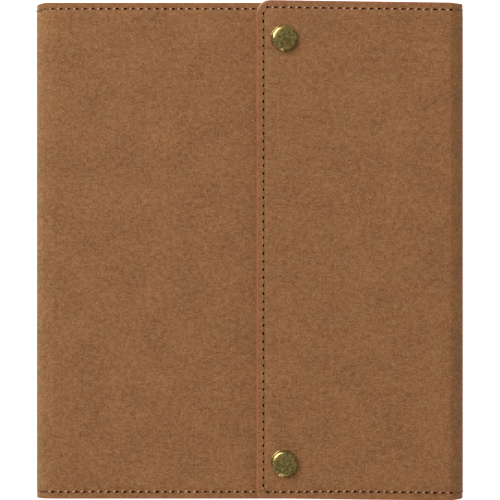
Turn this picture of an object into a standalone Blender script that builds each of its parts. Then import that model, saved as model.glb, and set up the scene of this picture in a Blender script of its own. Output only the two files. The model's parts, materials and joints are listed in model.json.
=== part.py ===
# Scrapbook album: a sewn kraft case with a snap-closed flap, holding card leaves on three rings.
# It lies closed on its back cover. X runs from the spine (-X) to the fore-edge (+X), Y from tail to head, Z up.
import math

import bmesh
import bpy
from mathutils import Euler, Matrix, Vector

MM = 0.001

# ---- Case: outside sizes
ALBUM_WIDTH = 197.0 * MM
COVER_HEIGHT = 228.8 * MM
PAGE_SPACE = 27.0 * MM          # clear depth between the two cover linings
SNAP_SPACE = 3.3 * MM           # between the front cover and the closed flap
FLAP_WIDTH = 95.2 * MM          # fore-edge to the flap's free edge
FRONT_EDGE_GAP = 1.6 * MM       # front cover's free edge to the fore-edge wall

# ---- Case: layers and creases
SKIN = 0.7 * MM
BOARD = 1.6 * MM
THIN_BOARD = 0.9 * MM           # in the flap and the fore-edge wall
GAP = 0.3 * MM                  # left between touching pieces
SEWN_MARGIN = 5.0 * MM          # the board stops this far inside the sewn edges
CREASE_RADIUS = 4.0 * MM
FLAP_CREASE_RADIUS = 6.0 * MM
FOLD_THICKNESS = 1.4 * MM       # skin and lining together, where they bend
CORNER_RADIUS = 1.2 * MM
FLAP_CORNER_RADIUS = 5.0 * MM

# ---- Snap fasteners
SNAP_EDGE_INSET = 12.7 * MM     # from the flap's free edge
SNAP_END_INSET = 16.75 * MM     # from the cover's head and tail
CAP_RADIUS = 6.25 * MM
CAP_HEIGHT = 2.8 * MM
POST_RADIUS = 1.7 * MM
SOCKET_RADIUS = 5.6 * MM
SOCKET_ROOF = 0.5 * MM
NUB_RADIUS = 2.5 * MM
NUB_CLEARANCE = 1.15 * MM       # room round the nub for the spring
SPRING_WIRE = 0.5 * MM
STUD_RADIUS = 5.4 * MM
STUD_FLANGE = 0.5 * MM
EYELET_RADIUS = 4.8 * MM
EYELET_FLANGE = 0.6 * MM
BARREL_RADIUS = 1.5 * MM
PASSING_GAP = 0.4 * MM          # round a post or shank that goes through a hole

# ---- Ring mechanism: heights are measured from the spine lining
RING_CLEARANCE = 2.1 * MM       # from a closed ring to each cover's lining
RING_WIRE = 2.8 * MM
RING_PITCH = 70.0 * MM
RING_COUNT = 3
BLADE_LINE = 3.0 * MM           # height of the blades' pivots
RING_FOOT_ANGLE = math.radians(140)  # from the ring's tip round to where it turns down to the blade
RING_FOOT_RUN = 1.54 * MM       # from that bend down to the blades' pivots
PIVOT_INSET = 1.57 * MM         # from a ring's foot out to the blade's pivot
BLADE_THICKNESS = 0.8 * MM
BLADE_END_GAP = 1.0 * MM        # blades end inside the housing
BLADE_TILT = math.radians(4.5)  # the closed blades dip towards the middle
HOUSING_WALL = 0.7 * MM
HOUSING_SIDE = 1.1 * MM         # from a blade's pivot to the housing's outside
HOUSING_CROWN = 1.5 * MM        # inside of the crown above the blades' pivots
HOUSING_END_INSET = 1.5 * MM    # housing ends inside the leaves' head and tail
EAR_LENGTH = 3.6 * MM           # the housing's side walls run on this far to carry a lever
RIVET_END_INSET = 15.5 * MM     # from the housing's ends
RIVET_SHANK = 1.4 * MM
RIVET_HEAD = 3.2 * MM
RIVET_HEAD_HEIGHT = 0.9 * MM
RIVET_TAIL = 3.0 * MM
RIVET_TAIL_HEIGHT = 0.5 * MM
LEVER_WIDTH = 12.0 * MM
LEVER_SHEET = 1.1 * MM
LEVER_TAB_HEIGHT = 10.0 * MM
LEVER_FOOT = 3.6 * MM           # foot's reach inwards from the pin
LEVER_PIN_HEIGHT = 2.6 * MM
LEVER_PIN_RADIUS = 0.6 * MM
LEVER_BOSS = 1.6 * MM

# ---- Leaves
LEAF_COUNT = 8
LEAF_THICKNESS = 0.8 * MM
LEAF_STACK = 0.651              # half the closed stack's depth, as a share of the ring's radius
LEAF_EDGE_INSET = 10.0 * MM     # from the front cover's free edge
LEAF_END_INSET = 11.4 * MM      # from the cover's head and tail
LEAF_HOLE_RADIUS = 4.0 * MM
LEAF_HOLE_OFFSET = 1.0 * MM     # hole's middle outside the ring's wire
LEAF_MARGIN = 5.5 * MM          # from the hole's edge to the bound edge

# ---- Places that follow from those sizes
COVER = SKIN + GAP + BOARD + GAP + SKIN
THIN_COVER = SKIN + GAP + THIN_BOARD + GAP + SKIN
LEFT = -ALBUM_WIDTH / 2
RIGHT = ALBUM_WIDTH / 2
FRONT_TOP = COVER + PAGE_SPACE + COVER
FLAP_UNDER = FRONT_TOP + SNAP_SPACE
FLAP_TOP = FLAP_UNDER + THIN_COVER
SPINE_INSIDE = LEFT + COVER
FORE_INSIDE = RIGHT - THIN_COVER
FRONT_EDGE_X = FORE_INSIDE - FRONT_EDGE_GAP
MID_Z = COVER + PAGE_SPACE / 2

FLAP_EDGE_X = RIGHT - FLAP_WIDTH
SNAP_X = FLAP_EDGE_X + SNAP_EDGE_INSET
SNAP_Y = COVER_HEIGHT / 2 - SNAP_END_INSET

RING_RADIUS = PAGE_SPACE / 2 - RING_CLEARANCE - RING_WIRE / 2
RING_FOOT_SIDE = RING_RADIUS * math.sin(RING_FOOT_ANGLE)
RING_RISE = RING_FOOT_RUN - RING_RADIUS * math.cos(RING_FOOT_ANGLE)
PIVOT_SPREAD = RING_FOOT_SIDE + PIVOT_INSET
BLADE_X = SPINE_INSIDE + BLADE_LINE
RING_X = BLADE_X + RING_RISE
HOUSING_HALF = PIVOT_SPREAD + HOUSING_SIDE

LEAF_HEIGHT = COVER_HEIGHT - 2 * LEAF_END_INSET
LEAF_BOUND_RUN = LEAF_HOLE_OFFSET - LEAF_HOLE_RADIUS - LEAF_MARGIN    # ring's wire to the bound edge
LEAF_WIDTH = FRONT_EDGE_X - LEAF_EDGE_INSET - RING_X - RING_RADIUS - LEAF_BOUND_RUN
LEAF_SPACING = 2 * LEAF_STACK * RING_RADIUS / (LEAF_COUNT - 1)
HOUSING_LENGTH = LEAF_HEIGHT - 2 * HOUSING_END_INSET
BLADE_LENGTH = HOUSING_LENGTH - 2 * BLADE_END_GAP
RIVET_Y = HOUSING_LENGTH / 2 - RIVET_END_INSET
LEVER_PIN_Y = HOUSING_LENGTH / 2 + EAR_LENGTH / 2

COLOURS = {
    "kraft": ((0.28, 0.13, 0.055), 0.75, 0.0),
    "lining": ((0.33, 0.17, 0.08), 0.8, 0.0),
    "board": ((0.42, 0.40, 0.36), 0.9, 0.0),
    "brass": ((0.36, 0.26, 0.11), 0.35, 1.0),
    "nickel": ((0.72, 0.71, 0.68), 0.25, 1.0),
    "leaf": ((0.45, 0.30, 0.17), 0.85, 0.0),
}


# ---- Modelling helpers

def clear_scene():
    for item in list(bpy.data.objects):
        bpy.data.objects.remove(item, do_unlink=True)


def new_collection(name):
    collection = bpy.data.collections.new(name)
    bpy.context.scene.collection.children.link(collection)
    return collection


def make_materials():
    made = {}
    for name, (colour, roughness, metallic) in COLOURS.items():
        material = bpy.data.materials.new(name)
        material.use_nodes = True
        shader = material.node_tree.nodes["Principled BSDF"]
        shader.inputs["Base Color"].default_value = (*colour, 1.0)
        shader.inputs["Roughness"].default_value = roughness
        shader.inputs["Metallic"].default_value = metallic
        made[name] = material
    return made


def add_object(name, data, material, matrix):
    item = bpy.data.objects.new(name, data)
    item.data.materials.append(MATERIALS[material])
    item.matrix_world = matrix
    PARTS.objects.link(item)
    return item


def arc_points(centre, radius, start, end, steps):
    angles = [start + (end - start) * i / steps for i in range(steps + 1)]
    return [(centre[0] + radius * math.cos(a), centre[1] + radius * math.sin(a)) for a in angles]


def rectangle_outline(low, high, radii, steps=5):
    # Corners go round from low X, low Y; each has its own radius.
    corners = [(low[0], low[1], 1, 1, 180), (high[0], low[1], -1, 1, 270),
               (high[0], high[1], -1, -1, 0), (low[0], high[1], 1, -1, 90)]
    points = []
    for (x, y, side_x, side_y, start), radius in zip(corners, radii):
        if radius <= 0:
            points.append((x, y))
            continue
        centre = (x + side_x * radius, y + side_y * radius)
        points += arc_points(centre, radius, math.radians(start), math.radians(start + 90), steps)
    return points


def flat_piece(name, material, outlines, thickness, matrix):
    # The first outline is the edge, the others are holes; local Z is the thickness, centred.
    curve = bpy.data.curves.new(name, "CURVE")
    curve.dimensions = "2D"
    curve.fill_mode = "BOTH"
    curve.extrude = thickness / 2
    for outline in outlines:
        spline = curve.splines.new("POLY")
        spline.points.add(len(outline) - 1)
        for point, (x, y) in zip(spline.points, outline):
            point.co = (x, y, 0, 1)
        spline.use_cyclic_u = True
    return as_mesh(add_object(name, curve, material, matrix))


def as_mesh(item):
    bpy.context.view_layer.update()
    name = item.name
    matrix = item.matrix_world.copy()
    mesh = bpy.data.meshes.new_from_object(item.evaluated_get(bpy.context.evaluated_depsgraph_get()))
    work = bmesh.new()
    work.from_mesh(mesh)
    bmesh.ops.remove_doubles(work, verts=work.verts, dist=1e-6)
    bmesh.ops.recalc_face_normals(work, faces=work.faces)
    work.to_mesh(mesh)
    work.free()
    bpy.data.objects.remove(item, do_unlink=True)
    solid = bpy.data.objects.new(name, mesh)
    solid.matrix_world = matrix
    PARTS.objects.link(solid)
    return solid


def turned_piece(name, material, profile, location, steps=28):
    # The profile runs from the top to the bottom down its outer side, at +X.
    mesh = bpy.data.meshes.new(name)
    mesh.from_pydata([(r, 0, z) for r, z in profile], [(i, i + 1) for i in range(len(profile) - 1)], [])
    item = add_object(name, mesh, material, Matrix.Translation(location))
    screw = item.modifiers.new("turn", "SCREW")
    screw.axis = "Z"
    screw.steps = steps
    screw.render_steps = steps
    screw.use_merge_vertices = True
    screw.merge_threshold = 1e-5
    screw.use_smooth_shade = True
    return item


def wire_piece(name, material, points, diameter, resolution=3):
    curve = bpy.data.curves.new(name, "CURVE")
    curve.dimensions = "3D"
    curve.bevel_depth = diameter / 2
    curve.bevel_resolution = resolution
    curve.use_fill_caps = True
    spline = curve.splines.new("POLY")
    spline.points.add(len(points) - 1)
    for point, place in zip(spline.points, points):
        point.co = (*place, 1)
    return add_object(name, curve, material, Matrix.Identity(4))


def rod_cutter(name, radius, start, end):
    start, end = Vector(start), Vector(end)
    mesh = bpy.data.meshes.new(name)
    work = bmesh.new()
    bmesh.ops.create_cone(work, cap_ends=True, segments=28, radius1=radius, radius2=radius,
                          depth=(end - start).length)
    work.to_mesh(mesh)
    work.free()
    turn = Vector((0, 0, 1)).rotation_difference(end - start).to_matrix().to_4x4()
    return add_cutter(name, mesh, Matrix.Translation((start + end) / 2) @ turn)


def box_cutter(name, low, high):
    low, high = Vector(low), Vector(high)
    mesh = bpy.data.meshes.new(name)
    work = bmesh.new()
    bmesh.ops.create_cube(work, size=1.0)
    size = high - low
    bmesh.ops.scale(work, vec=(size.x, size.y, size.z), verts=work.verts)
    work.to_mesh(mesh)
    work.free()
    return add_cutter(name, mesh, Matrix.Translation((low + high) / 2))


def add_cutter(name, mesh, matrix):
    item = bpy.data.objects.new(name, mesh)
    item.matrix_world = matrix
    item.hide_render = True
    item.display_type = "WIRE"
    CUTTERS.objects.link(item)
    return item


def cut(item, cutters):
    for cutter in cutters:
        step = item.modifiers.new(cutter.name, "BOOLEAN")
        step.operation = "DIFFERENCE"
        step.object = cutter
    return item


# ---- Case

# Each panel's plane: local X runs along the panel, local Y is head to tail, local Z is its thickness.
LYING = Matrix.Identity(4)
STANDING = Euler((0, math.radians(-90), 0)).to_matrix().to_4x4()


def panel_layers(panel, start, end, height, depths, face, corner_radius, sewn_ends, holes=()):
    # One panel's skin, board and lining, stacked inwards from the outer face.
    materials = {"skin": "kraft", "board": "board", "lining": "lining"}
    depth = 0.0
    pieces = {}
    for layer, thickness in zip(("skin", "board", "lining"), depths):
        inset_y = SEWN_MARGIN if layer == "board" else 0.0
        low = [start, -height / 2 + inset_y]
        high = [end, height / 2 - inset_y]
        if layer == "board":
            low[0] += SEWN_MARGIN if sewn_ends[0] else 0.0
            high[0] -= SEWN_MARGIN if sewn_ends[1] else 0.0
        left_radius = corner_radius if sewn_ends[0] else 0.0
        right_radius = corner_radius if sewn_ends[1] else 0.0
        radii = (left_radius, right_radius, right_radius, left_radius)
        outlines = [rectangle_outline(low, high, radii)]
        outlines += [arc_points(centre, radius, 0, math.tau * 27 / 28, 27) for centre, radius in holes]
        middle = face(depth + thickness / 2)
        pieces[layer] = flat_piece(f"{panel}_{layer}", materials[layer], outlines, thickness, middle)
        depth += thickness + GAP
    return pieces


def fold_strip(name, corner, inward, radius, height):
    # A quarter ring of skin and lining round the outer corner between two panels.
    centre = (corner[0] + inward[0] * radius, corner[1] + inward[1] * radius)
    trim = GAP / (radius - FOLD_THICKNESS)
    middle = math.atan2(-inward[1], -inward[0])
    start, end = middle - math.pi / 4 + trim, middle + math.pi / 4 - trim
    outline = arc_points(centre, radius, start, end, 8)
    outline += arc_points(centre, radius - FOLD_THICKNESS, end, start, 8)
    flipped = [(x, -z) for x, z in outline]
    matrix = Euler((math.radians(-90), 0, 0)).to_matrix().to_4x4()
    return flat_piece(name, "kraft", [flipped], height, matrix)


def make_case():
    thick = (SKIN, BOARD, SKIN)
    thin = (SKIN, THIN_BOARD, SKIN)
    barrel_hole = BARREL_RADIUS + PASSING_GAP
    post_hole = POST_RADIUS + PASSING_GAP
    snap_places = [(SNAP_X, SNAP_Y), (SNAP_X, -SNAP_Y)]

    panel_layers("back", LEFT + CREASE_RADIUS, RIGHT - CREASE_RADIUS, COVER_HEIGHT, thick,
                 lambda depth: Matrix.Translation((0, 0, depth)) @ LYING, CORNER_RADIUS, (False, False))
    panel_layers("front", LEFT + CREASE_RADIUS, FRONT_EDGE_X, COVER_HEIGHT, thick,
                 lambda depth: Matrix.Translation((0, 0, FRONT_TOP - depth)) @ LYING,
                 CORNER_RADIUS, (False, True), [(place, barrel_hole) for place in snap_places])
    panel_layers("flap", FLAP_EDGE_X, RIGHT - FLAP_CREASE_RADIUS, COVER_HEIGHT, thin,
                 lambda depth: Matrix.Translation((0, 0, FLAP_TOP - depth)) @ LYING,
                 FLAP_CORNER_RADIUS, (True, False), [(place, post_hole) for place in snap_places])
    spine = panel_layers("spine", CREASE_RADIUS, FRONT_TOP - CREASE_RADIUS, COVER_HEIGHT, thick,
                         lambda depth: Matrix.Translation((LEFT + depth, 0, 0)) @ STANDING,
                         CORNER_RADIUS, (False, False))
    panel_layers("fore_edge", CREASE_RADIUS, FLAP_TOP - FLAP_CREASE_RADIUS, COVER_HEIGHT, thin,
                 lambda depth: Matrix.Translation((RIGHT - depth, 0, 0)) @ STANDING,
                 CORNER_RADIUS, (False, False))

    # The rivets pass the spine's lining and board, and their tails sit in the board's outer face.
    board_face = LEFT + SKIN + GAP
    recess = RIVET_TAIL_HEIGHT + GAP
    for index, y in enumerate((RIVET_Y, -RIVET_Y)):
        shank = rod_cutter(f"cut_shank_{index}", RIVET_SHANK + PASSING_GAP, (LEFT + SKIN + GAP / 2, y, MID_Z),
                           (BLADE_X, y, MID_Z))
        tail = rod_cutter(f"cut_tail_{index}", RIVET_TAIL + PASSING_GAP, (board_face - GAP / 2, y, MID_Z),
                          (board_face + recess, y, MID_Z))
        cut(spine["board"], [tail, shank])
        cut(spine["lining"], [shank])

    crease = CREASE_RADIUS
    fold_strip("spine_back_fold", (LEFT, 0), (1, 1), crease, COVER_HEIGHT)
    fold_strip("spine_front_fold", (LEFT, FRONT_TOP), (1, -1), crease, COVER_HEIGHT)
    fold_strip("back_fore_edge_fold", (RIGHT, 0), (-1, 1), crease, COVER_HEIGHT)
    fold_strip("fore_edge_flap_fold", (RIGHT, FLAP_TOP), (-1, -1), FLAP_CREASE_RADIUS, COVER_HEIGHT)


# ---- Snap fasteners

def make_snap(end, y):
    socket_bottom = FRONT_TOP + GAP + STUD_FLANGE + GAP
    socket_top = FLAP_UNDER - GAP
    roof = socket_top - SOCKET_ROOF
    nub_top = roof - GAP
    stud_bottom = FRONT_TOP + GAP
    stud_flange_top = stud_bottom + STUD_FLANGE
    cavity = NUB_RADIUS + NUB_CLEARANCE
    cap_under = FLAP_TOP + GAP
    cap_rim = 0.7 * MM
    place = (SNAP_X, y, 0)

    dome = [(CAP_RADIUS * math.sin(a), cap_under + cap_rim + (CAP_HEIGHT - cap_rim) * math.cos(a) ** 0.8)
            for a in [math.radians(90) * i / 8 for i in range(8)]]
    cap = dome + [(CAP_RADIUS, cap_under + cap_rim), (CAP_RADIUS, cap_under + cap_rim / 2),
                  (CAP_RADIUS - cap_rim / 2, cap_under), (POST_RADIUS, cap_under),
                  (POST_RADIUS, roof + SOCKET_ROOF / 4), (0, roof + SOCKET_ROOF / 4)]
    turned_piece(f"snap_cap_{end}", "brass", cap, place)

    hole = POST_RADIUS + PASSING_GAP
    socket = [(hole, socket_top), (SOCKET_RADIUS - GAP, socket_top), (SOCKET_RADIUS, socket_top - GAP),
              (SOCKET_RADIUS, socket_bottom), (cavity, socket_bottom), (cavity, roof), (hole, roof),
              (hole, socket_top)]
    turned_piece(f"snap_socket_{end}", "brass", socket, place)

    spring_radius = cavity - GAP - SPRING_WIRE / 2
    split = math.radians(24)
    turns = 30
    angles = [split + (math.tau - 2 * split) * i / turns for i in range(turns + 1)]
    spring_z = (socket_bottom + roof) / 2
    ring = [(SNAP_X + spring_radius * math.cos(a), y + spring_radius * math.sin(a), spring_z) for a in angles]
    wire_piece(f"snap_spring_{end}", "nickel", ring, SPRING_WIRE, 1)

    bore = BARREL_RADIUS + PASSING_GAP
    barrel_top = nub_top - 2 * GAP
    stud = [(0, nub_top), (NUB_RADIUS - GAP, nub_top), (NUB_RADIUS, nub_top - GAP),
            (NUB_RADIUS - GAP / 2, stud_flange_top), (STUD_RADIUS - GAP, stud_flange_top),
            (STUD_RADIUS, stud_flange_top - GAP / 2), (STUD_RADIUS, stud_bottom), (bore, stud_bottom),
            (bore, barrel_top + GAP), (0, barrel_top + GAP)]
    turned_piece(f"snap_stud_{end}", "brass", stud, place)

    flange_top = FRONT_TOP - COVER - GAP
    flange_bottom = flange_top - EYELET_FLANGE
    eyelet = [(0, barrel_top), (BARREL_RADIUS, barrel_top), (BARREL_RADIUS, flange_top),
              (EYELET_RADIUS - GAP, flange_top), (EYELET_RADIUS, flange_top - GAP),
              (EYELET_RADIUS - GAP, flange_bottom), (0, flange_bottom)]
    turned_piece(f"snap_eyelet_{end}", "brass", eyelet, place)


# ---- Ring mechanism: local X is the height above the spine lining, local Z the side of the middle plane

def make_housing():
    outer_half = HOUSING_HALF
    inner_half = outer_half - HOUSING_WALL
    foot = SPINE_INSIDE + GAP
    shoulder = BLADE_X
    inner_crown = BLADE_X + HOUSING_CROWN
    steps = 8

    def arch(half, crown):
        rows = [math.pi * (1 - i / steps) for i in range(steps + 1)]
        return [(shoulder + (crown - shoulder) * math.sin(a) ** 0.6, MID_Z + half * math.cos(a)) for a in rows]

    outer = [(foot, MID_Z - outer_half)] + arch(outer_half, inner_crown + HOUSING_WALL)
    outer += [(foot, MID_Z + outer_half)]
    inner = [(foot, MID_Z + inner_half)] + arch(inner_half, inner_crown)[::-1] + [(foot, MID_Z - inner_half)]
    flipped = [(x, -z) for x, z in outer + inner]
    matrix = Euler((math.radians(-90), 0, 0)).to_matrix().to_4x4()
    full_length = HOUSING_LENGTH + 2 * EAR_LENGTH
    housing = flat_piece("ring_housing", "nickel", [flipped], full_length, matrix)

    far = BLADE_X + RING_RISE
    cutters = []
    for index, y in enumerate((RIVET_Y, -RIVET_Y)):
        cutters.append(rod_cutter(f"cut_rivet_{index}", RIVET_SHANK + PASSING_GAP, (BLADE_X, y, MID_Z),
                                  (far, y, MID_Z)))
    slot_half = RING_WIRE / 2 + PASSING_GAP
    for index, y in enumerate(ring_places()):
        for side in (-1, 1):
            near = RING_FOOT_SIDE - RING_WIRE / 2 - 2 * PASSING_GAP
            ends = sorted((MID_Z + side * near, MID_Z + side * (outer_half + GAP)))
            cutters.append(box_cutter(f"cut_slot_{index}_{side}", (BLADE_X + BLADE_THICKNESS / 2, y - slot_half,
                                                                    ends[0]),
                                      (far, y + slot_half, ends[1])))
    for index, end in enumerate((-1, 1)):
        ys = sorted((end * HOUSING_LENGTH / 2, end * (full_length / 2 + GAP)))
        cutters.append(box_cutter(f"cut_ear_{index}", (foot - GAP, ys[0], MID_Z - inner_half),
                                  (far, ys[1], MID_Z + inner_half)))
        pin_y = end * LEVER_PIN_Y
        pin_x = SPINE_INSIDE + LEVER_PIN_HEIGHT
        cutters.append(rod_cutter(f"cut_pin_{index}", LEVER_PIN_RADIUS + PASSING_GAP,
                                  (pin_x, pin_y, MID_Z - outer_half - GAP), (pin_x, pin_y, MID_Z + outer_half + GAP)))
    cut(housing, cutters)


def ring_places():
    first = -RING_PITCH * (RING_COUNT - 1) / 2
    return [first + RING_PITCH * i for i in range(RING_COUNT)]


def make_blades():
    inner_edge = GAP / 2
    outer_edge = PIVOT_SPREAD - GAP
    for name, side in (("back", -1), ("front", 1)):
        low = (-outer_edge if side < 0 else inner_edge) - side * PIVOT_SPREAD
        high = (-inner_edge if side < 0 else outer_edge) - side * PIVOT_SPREAD
        outline = rectangle_outline((low, -BLADE_LENGTH / 2), (high, BLADE_LENGTH / 2), (0, 0, 0, 0))
        pivot = Matrix.Translation((BLADE_X, 0, MID_Z + side * PIVOT_SPREAD))
        # Local X of the flat outline points to +Z, and the blade then tips its inner edge towards the spine.
        lie = Matrix(((0, 0, -1, 0), (0, 1, 0, 0), (1, 0, 0, 0), (0, 0, 0, 1)))
        tilt = Matrix.Rotation(side * BLADE_TILT, 4, "Y")
        blade = flat_piece(f"blade_{name}", "nickel", [outline], BLADE_THICKNESS, pivot @ tilt @ lie)
        notches = [rod_cutter(f"cut_notch_{name}_{index}", RIVET_SHANK + 2 * PASSING_GAP,
                              (SPINE_INSIDE, y, MID_Z), (RING_X, y, MID_Z))
                   for index, y in enumerate((RIVET_Y, -RIVET_Y))]
        cut(blade, notches)


def make_rings():
    steps = 22
    tip = math.asin(GAP / 2 / RING_RADIUS)
    foot_height = BLADE_THICKNESS / 2 + GAP
    for index, y in enumerate(ring_places()):
        for name, side in (("back", -1), ("front", 1)):
            angles = [tip + (RING_FOOT_ANGLE - tip) * i / steps for i in range(steps + 1)]
            path = [(RING_X + RING_RADIUS * math.cos(a), y, MID_Z + side * RING_RADIUS * math.sin(a))
                    for a in angles]
            path.append((BLADE_X + foot_height, y, path[-1][2]))
            wire_piece(f"ring_{index + 1}_{name}", "nickel", path, RING_WIRE)


def make_rivets():
    crown = BLADE_X + HOUSING_CROWN + HOUSING_WALL + GAP
    tail = LEFT + SKIN + GAP + GAP / 2
    lie = Euler((0, math.radians(90), 0)).to_matrix().to_4x4()
    for name, y in (("head", RIVET_Y), ("tail", -RIVET_Y)):
        profile = [(0, crown + RIVET_HEAD_HEIGHT), (RIVET_HEAD * 0.6, crown + RIVET_HEAD_HEIGHT * 0.85),
                   (RIVET_HEAD, crown + RIVET_HEAD_HEIGHT * 0.3), (RIVET_HEAD, crown), (RIVET_SHANK, crown),
                   (RIVET_SHANK, tail + RIVET_TAIL_HEIGHT), (RIVET_TAIL, tail + RIVET_TAIL_HEIGHT),
                   (RIVET_TAIL, tail), (0, tail)]
        rivet = turned_piece(f"rivet_{name}", "nickel", profile, (0, 0, 0), 20)
        rivet.matrix_world = Matrix.Translation((0, y, MID_Z)) @ lie


def make_levers():
    pin_x = SPINE_INSIDE + LEVER_PIN_HEIGHT
    for name, end in (("head", 1), ("tail", -1)):
        pin_y = end * LEVER_PIN_Y
        foot_low = SPINE_INSIDE + 2 * GAP
        foot_high = foot_low + LEVER_SHEET * 0.75
        boss = [(pin_x + LEVER_BOSS * math.cos(a), pin_y + end * LEVER_BOSS * math.sin(a))
                for a in [math.radians(-90 + 180 * i / 8) for i in range(9)]]
        tab_in = pin_y + end * (LEVER_BOSS - LEVER_SHEET + 0.35 * MM)
        tab_out = pin_y + end * (LEVER_BOSS + 0.35 * MM)
        tab_top = SPINE_INSIDE + LEVER_TAB_HEIGHT
        outline = [(foot_low, pin_y - end * LEVER_FOOT), (foot_high, pin_y - end * LEVER_FOOT),
                   (foot_high, pin_y - end * LEVER_BOSS), (pin_x + LEVER_BOSS * 0.8, pin_y - end * LEVER_BOSS * 0.3),
                   (pin_x + LEVER_BOSS, tab_in), (tab_top, tab_in + end * 0.3 * MM),
                   (tab_top + LEVER_SHEET / 2, (tab_in + tab_out) / 2 + end * 0.3 * MM),
                   (tab_top, tab_out + end * 0.3 * MM), (pin_x, tab_out), (foot_low, pin_y + end * LEVER_BOSS * 0.6)]
        hole = arc_points((pin_x, pin_y), LEVER_PIN_RADIUS + PASSING_GAP, 0, math.tau * 15 / 16, 15)
        flat_piece(f"lever_{name}", "nickel", [outline, hole], LEVER_WIDTH, Matrix.Translation((0, 0, MID_Z)))
        pin = arc_points((pin_x, pin_y), LEVER_PIN_RADIUS, 0, math.tau * 15 / 16, 15)
        flat_piece(f"lever_pin_{name}", "nickel", [pin], 2 * HOUSING_HALF, Matrix.Translation((0, 0, MID_Z)))


# ---- Leaves

def make_leaves():
    for index in range(LEAF_COUNT):
        side = (index - (LEAF_COUNT - 1) / 2) * LEAF_SPACING
        wire_x = RING_X + math.sqrt(RING_RADIUS ** 2 - side ** 2)
        hole_x = wire_x + LEAF_HOLE_OFFSET
        bound_x = wire_x + LEAF_BOUND_RUN
        outlines = [rectangle_outline((bound_x, -LEAF_HEIGHT / 2), (bound_x + LEAF_WIDTH, LEAF_HEIGHT / 2),
                                      [CORNER_RADIUS] * 4, 3)]
        outlines += [arc_points((hole_x, y), LEAF_HOLE_RADIUS, 0, math.tau * 23 / 24, 23) for y in ring_places()]
        flat_piece(f"leaf_{index + 1}", "leaf", outlines, LEAF_THICKNESS, Matrix.Translation((0, 0, MID_Z + side)))


clear_scene()
PARTS = new_collection("scrapbook_album")
CUTTERS = new_collection("cutters")
MATERIALS = make_materials()

make_case()
for snap_end, snap_y in (("head", SNAP_Y), ("tail", -SNAP_Y)):
    make_snap(snap_end, snap_y)
make_housing()
make_blades()
make_rings()
make_rivets()
make_levers()
make_leaves()
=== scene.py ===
import json
import math

import bmesh
import bpy
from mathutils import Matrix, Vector


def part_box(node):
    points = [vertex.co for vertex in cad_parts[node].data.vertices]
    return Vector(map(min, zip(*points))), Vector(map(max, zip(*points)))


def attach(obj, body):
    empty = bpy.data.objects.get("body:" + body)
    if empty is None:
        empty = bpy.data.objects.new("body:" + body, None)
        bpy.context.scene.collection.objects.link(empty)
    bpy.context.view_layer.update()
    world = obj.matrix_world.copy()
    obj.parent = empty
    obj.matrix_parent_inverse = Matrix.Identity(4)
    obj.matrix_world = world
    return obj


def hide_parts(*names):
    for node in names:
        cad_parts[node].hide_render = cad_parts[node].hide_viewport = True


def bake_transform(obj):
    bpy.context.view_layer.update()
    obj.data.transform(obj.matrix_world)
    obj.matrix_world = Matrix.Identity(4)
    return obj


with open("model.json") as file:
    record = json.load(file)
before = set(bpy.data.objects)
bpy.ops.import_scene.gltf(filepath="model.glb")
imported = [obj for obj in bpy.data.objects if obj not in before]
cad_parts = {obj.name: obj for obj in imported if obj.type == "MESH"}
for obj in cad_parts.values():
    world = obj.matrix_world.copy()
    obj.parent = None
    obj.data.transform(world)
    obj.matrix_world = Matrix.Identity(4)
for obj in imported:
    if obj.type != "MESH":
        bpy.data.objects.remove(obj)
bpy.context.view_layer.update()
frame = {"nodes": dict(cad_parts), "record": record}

mm = 0.001


# Small makers

def smoothStep(low, high, value):
    t = min(1.0, max(0.0, (value - low) / (high - low)))
    return t * t * (3 - 2 * t)


def addObject(name, data):
    item = bpy.data.objects.new(name, data)
    bpy.context.scene.collection.objects.link(item)
    return item


def softenFaces(work, sharpFrom):
    # smooth faces, with a hard line where two of them meet at more than this angle
    for face in work.faces:
        face.smooth = True
    for edge in work.edges:
        edge.smooth = len(edge.link_faces) == 2 and edge.calc_face_angle(0.0) < math.radians(sharpFrom)


def addNode(tree, kind, inputs=None, **settings):
    node = tree.nodes.new(kind)
    for name, value in settings.items():
        setattr(node, name, value)
    for name, value in (inputs or {}).items():
        if isinstance(value, bpy.types.NodeSocket):
            tree.links.new(value, node.inputs[name])
        else:
            node.inputs[name].default_value = value
    return node


def fromNode(tree, kind, inputs=None, **settings):
    return addNode(tree, kind, inputs, **settings).outputs[0]


def mathNode(tree, operation, a, b=0.0, c=None, clamp=False):
    values = {0: a, 1: b} if c is None else {0: a, 1: b, 2: c}
    return fromNode(tree, "ShaderNodeMath", values, operation=operation, use_clamp=clamp)


def vectorNode(tree, operation, a, b):
    second = "Scale" if operation == "SCALE" else 1
    return fromNode(tree, "ShaderNodeVectorMath", {0: a, second: b}, operation=operation)


def mixColours(tree, factor, a, b, blend="MIX"):
    values = {0: factor, 6: a, 7: b}
    return addNode(tree, "ShaderNodeMix", values, data_type="RGBA", blend_type=blend).outputs[2]


def noiseNode(tree, vector, size, detail=2.0, roughness=0.5, distortion=0.0):
    return fromNode(tree, "ShaderNodeTexNoise", {"Vector": vector, "Scale": 1.0 / size, "Detail": detail,
                                                 "Roughness": roughness, "Distortion": distortion})


def stretchNode(tree, vector, turn, scale=(1, 1, 1)):
    return fromNode(tree, "ShaderNodeMapping", {"Vector": vector, "Rotation": (0, 0, math.radians(turn)),
                                                "Scale": scale})


def bandNode(tree, value, low, high):
    return fromNode(tree, "ShaderNodeMapRange", {"Value": value, "From Min": low, "From Max": high},
                    interpolation_type="SMOOTHSTEP")


def pointMask(tree, name):
    return addNode(tree, "ShaderNodeAttribute", attribute_name=name).outputs["Fac"]


def objectPlace(tree):
    return addNode(tree, "ShaderNodeTexCoord").outputs["Object"]


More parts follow.
